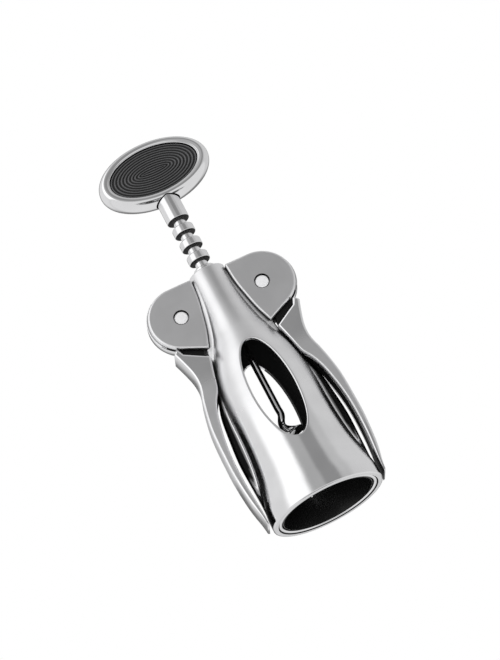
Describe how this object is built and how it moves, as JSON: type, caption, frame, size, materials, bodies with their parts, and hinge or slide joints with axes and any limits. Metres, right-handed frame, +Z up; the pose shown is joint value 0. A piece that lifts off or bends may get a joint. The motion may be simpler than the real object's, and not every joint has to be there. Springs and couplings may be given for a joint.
{
  "type": "winged corkscrew",
  "caption": "Double-lever corkscrew: a bell stands on the bottle, a wire worm on a ring rack is turned in by the oval handle, and geared wings lift the cork.",
  "frame": {"origin": "centre of the bell's mouth, on the plane that its rim stands on", "axes": "+Z up the worm's axis to the handle, +X to the right wing, -Y out of the front window"},
  "size_m": [0.058, 0.043, 0.1577],
  "materials": {
    "bell_body": "satin polished casting",
    "mouth_ring": "polished",
    "bell_liner": "moulded black",
    "neck_bush": "moulded black",
    "rack_rod": "polished turned steel",
    "worm": "polished wire",
    "left_lever": "satin polished casting",
    "right_lever": "satin polished casting",
    "left_lever_pin": "polished end",
    "right_lever_pin": "polished end",
    "handle_frame": "polished",
    "handle_inlay_front": "matt, with oval grooves",
    "handle_inlay_back": "matt, with oval grooves"
  },
  "bodies": {
    "bell": {"bell_body": "bell_body", "mouth_ring": "mouth_ring", "bell_liner": "bell_liner", "left_lever_pin": "left_lever_pin", "right_lever_pin": "right_lever_pin"},
    "bush": {"neck_bush": "neck_bush"},
    "spindle": {"rack_rod": "rack_rod", "worm": "worm", "handle_frame": "handle_frame", "handle_inlay_front": "handle_inlay_front", "handle_inlay_back": "handle_inlay_back"},
    "left_wing": {"left_lever": "left_lever"},
    "right_wing": {"right_lever": "right_lever"}
  },
  "joints": [
    {"name": "spindle_spin", "type": "hinge", "parent": "bell", "child": "bush", "pos_m": [0, 0, 0.0979], "axis": [0, 0, 1], "continuous": true},
    {"name": "rack_slide", "type": "slide", "parent": "bush", "child": "spindle", "axis": [0, 0, -1], "range_m": [0, 0.025]},
    {"name": "left_wing_swing", "type": "hinge", "parent": "bell", "child": "left_wing", "pos_m": [-0.01626, 0, 0.0865], "axis": [0, 1, 0], "range_deg": [0, 110]},
    {"name": "right_wing_swing", "type": "hinge", "parent": "bell", "child": "right_wing", "pos_m": [0.01626, 0, 0.0865], "axis": [0, 1, 0], "range_deg": [-110, 0]}
  ],
  "couplings": [
    {"joint": "right_wing_swing", "follows": "left_wing_swing", "ratio": -1},
    {"joint": "rack_slide", "follows": "left_wing_swing", "m_per_rad": 0.013}
  ]
}
